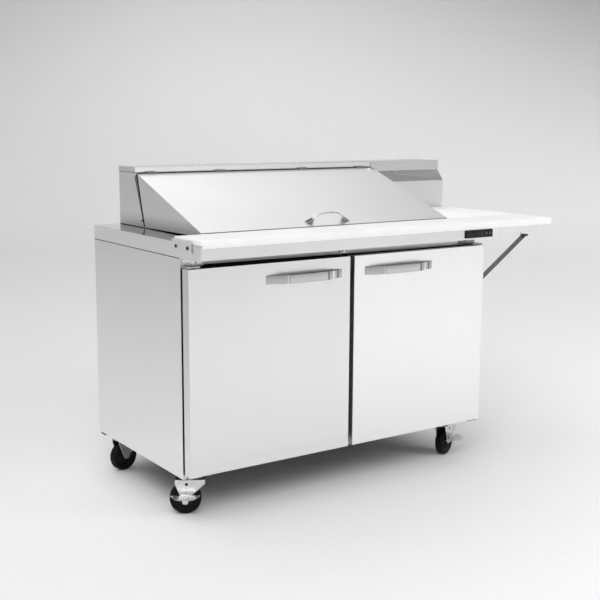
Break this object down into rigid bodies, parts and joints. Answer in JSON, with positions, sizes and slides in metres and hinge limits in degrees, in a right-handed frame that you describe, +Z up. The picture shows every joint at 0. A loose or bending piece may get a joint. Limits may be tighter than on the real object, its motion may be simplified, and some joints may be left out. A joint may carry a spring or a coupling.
{
  "type": "sandwich prep table",
  "caption": "Refrigerated sandwich prep table: two hinged doors, hinged sloping lid over food pans, white cutting boards, braced side shelf, casters.",
  "frame": {"origin": "on the floor, at the bottom centre of the whole table's bounding box", "axes": "+Z up, the doors face -Y, the side shelf is at +X"},
  "size_m": [1.5158, 0.777, 1.083],
  "materials": {
    "cabinet_steel": "fine vertical brush, satin",
    "top_steel": "fine brush along the length, satin",
    "hood_steel": "fine brush along the length, satin",
    "lid_steel": "fine brush along the length, satin",
    "door_steel": "fine vertical brush, satin",
    "galvanised": "galvanised, matt spangle",
    "foam": "rigid foam, cut cells",
    "liner_aluminium": "stucco embossed mill finish",
    "board_white": "fine matt texture with light knife marks",
    "black_plastic": "smooth",
    "key_grey": "smooth rubbery",
    "brace_paint": "dark grey powder coat",
    "plated_steel": "bright zinc plate",
    "handle_steel": "brushed along the length",
    "pan_steel": "satin",
    "white_plastic": "smooth",
    "gasket_black": "soft vinyl",
    "black_paint": "semi-gloss enamel",
    "coil_copper": "copper tube with aluminium fins",
    "caster_zinc": "bright zinc plate",
    "caster_tyre": "moulded, semi-matt"
  },
  "bodies": {
    "cabinet": {"left_side_panel": "cabinet_steel", "right_side_panel": "cabinet_steel", "back_panel": "galvanised", "rear_grille": "galvanised", "base_pan": "galvanised", "insulation": "foam", "inner_liner": "liner_aluminium", "front_frame": "top_steel", "worktop": "top_steel", "front_fascia": "top_steel", "control_panel": "black_plastic", "side_shelf": "top_steel", "front_brace": "brace_paint", "rear_brace": "brace_paint", "board_clip": "top_steel", "hood_shell": "hood_steel", "lid_hinge_rod": "plated_steel", "food_pan_1": "pan_steel", "food_pan_2": "pan_steel", "food_pan_3": "pan_steel", "food_pan_4": "pan_steel", "food_pan_5": "pan_steel", "food_pan_6": "pan_steel", "left_wire_shelf": "white_plastic", "right_wire_shelf": "white_plastic", "evaporator_housing": "liner_aluminium", "compressor": "black_paint", "condenser_coil": "coil_copper", "cord_inlet": "black_plastic", "left_top_hinge": "plated_steel", "left_bottom_hinge": "plated_steel", "right_top_hinge": "plated_steel", "right_bottom_hinge": "plated_steel"},
    "left_door": {"left_door_skin": "door_steel", "left_door_liner": "white_plastic", "left_door_gasket": "gasket_black", "left_door_handle": "handle_steel"},
    "right_door": {"right_door_skin": "door_steel", "right_door_liner": "white_plastic", "right_door_gasket": "gasket_black", "right_door_handle": "handle_steel"},
    "lid": {"lid_shell": "lid_steel", "lid_liner": "white_plastic", "lid_handle": "plated_steel"},
    "front_board": {"front_cutting_board": "board_white"},
    "side_board": {"side_cutting_board": "board_white"},
    "key_1": {"control_key_1": "key_grey"},
    "key_2": {"control_key_2": "key_grey"},
    "evaporator_fan": {"evaporator_fan": "black_plastic"},
    "condenser_fan": {"condenser_fan": "black_plastic"},
    "front_left_fork": {"front_left_caster_fork": "caster_zinc"},
    "front_left_wheel": {"front_left_caster_wheel": "caster_tyre"},
    "front_left_pedal": {"front_left_brake_pedal": "caster_zinc"},
    "front_right_fork": {"front_right_caster_fork": "caster_zinc"},
    "front_right_wheel": {"front_right_caster_wheel": "caster_tyre"},
    "front_right_pedal": {"front_right_brake_pedal": "caster_zinc"},
    "rear_left_fork": {"rear_left_caster_fork": "caster_zinc"},
    "rear_left_wheel": {"rear_left_caster_wheel": "caster_tyre"},
    "rear_right_fork": {"rear_right_caster_fork": "caster_zinc"},
    "rear_right_wheel": {"rear_right_caster_wheel": "caster_tyre"}
  },
  "joints": [
    {"name": "left_door_hinge", "type": "hinge", "parent": "cabinet", "child": "left_door", "pos_m": [-0.71612, -0.2815, 0.146], "axis": [0, 0, -1], "range_deg": [0, 110]},
    {"name": "right_door_hinge", "type": "hinge", "parent": "cabinet", "child": "right_door", "pos_m": [0.47988, -0.2815, 0.146], "axis": [0, 0, 1], "range_deg": [0, 110]},
    {"name": "lid_hinge", "type": "hinge", "parent": "cabinet", "child": "lid", "pos_m": [-0.11612, 0.2435, 1.062], "axis": [-1, 0, 0], "range_deg": [0, 115]},
    {"name": "front_board_lift", "type": "slide", "parent": "cabinet", "child": "front_board", "axis": [0, 0, 1], "range_m": [0, 0.06]},
    {"name": "side_board_lift", "type": "slide", "parent": "cabinet", "child": "side_board", "axis": [0, 0, 1], "range_m": [0, 0.06]},
    {"name": "key_1_press", "type": "slide", "parent": "cabinet", "child": "key_1", "axis": [0, 1, 0], "range_m": [0, 0.0012], "stiffness_N_per_m": 400},
    {"name": "key_2_press", "type": "slide", "parent": "cabinet", "child": "key_2", "axis": [0, 1, 0], "range_m": [0, 0.0012], "stiffness_N_per_m": 400},
    {"name": "evaporator_fan_spin", "type": "hinge", "parent": "cabinet", "child": "evaporator_fan", "pos_m": [-0.11812, 0.1095, 0.595], "axis": [0, 1, 0], "continuous": true},
    {"name": "condenser_fan_spin", "type": "hinge", "parent": "cabinet", "child": "condenser_fan", "pos_m": [-0.11812, 0.2705, 0.29], "axis": [0, 1, 0], "continuous": true},
    {"name": "front_left_swivel", "type": "hinge", "parent": "cabinet", "child": "front_left_fork", "pos_m": [-0.66712, -0.2305, 0.115], "axis": [0, 0, 1], "continuous": true},
    {"name": "front_left_roll", "type": "hinge", "parent": "front_left_fork", "child": "front_left_wheel", "pos_m": [-0.69743, -0.213, 0.051], "axis": [0.5, 0.866, 0], "continuous": true},
    {"name": "front_left_brake", "type": "hinge", "parent": "front_left_fork", "child": "front_left_pedal", "pos_m": [-0.70943, -0.23378, 0.066], "axis": [0.866, -0.5, 0], "range_deg": [0, 12]},
    {"name": "front_right_swivel", "type": "hinge", "parent": "cabinet", "child": "front_right_fork", "pos_m": [0.44188, -0.1965, 0.115], "axis": [0, 0, 1], "continuous": true},
    {"name": "front_right_roll", "type": "hinge", "parent": "front_right_fork", "child": "front_right_wheel", "pos_m": [0.4099, -0.21074, 0.051], "axis": [-0.4067, 0.9135, 0], "continuous": true},
    {"name": "front_right_brake", "type": "hinge", "parent": "front_right_fork", "child": "front_right_pedal", "pos_m": [0.41967, -0.23266, 0.066], "axis": [0.9135, 0.4067, 0], "range_deg": [0, 12]},
    {"name": "rear_left_swivel", "type": "hinge", "parent": "cabinet", "child": "rear_left_fork", "pos_m": [-0.64612, 0.2985, 0.115], "axis": [0, 0, 1], "continuous": true},
    {"name": "rear_left_roll", "type": "hinge", "parent": "rear_left_fork", "child": "rear_left_wheel", "pos_m": [-0.68022, 0.29063, 0.051], "axis": [-0.225, 0.9744, 0], "continuous": true},
    {"name": "rear_right_swivel", "type": "hinge", "parent": "cabinet", "child": "rear_right_fork", "pos_m": [0.40988, 0.2985, 0.115], "axis": [0, 0, 1], "continuous": true},
    {"name": "rear_right_roll", "type": "hinge", "parent": "rear_right_fork", "child": "rear_right_wheel", "pos_m": [0.37578, 0.30637, 0.051], "axis": [0.225, 0.9744, 0], "continuous": true}
  ]
}
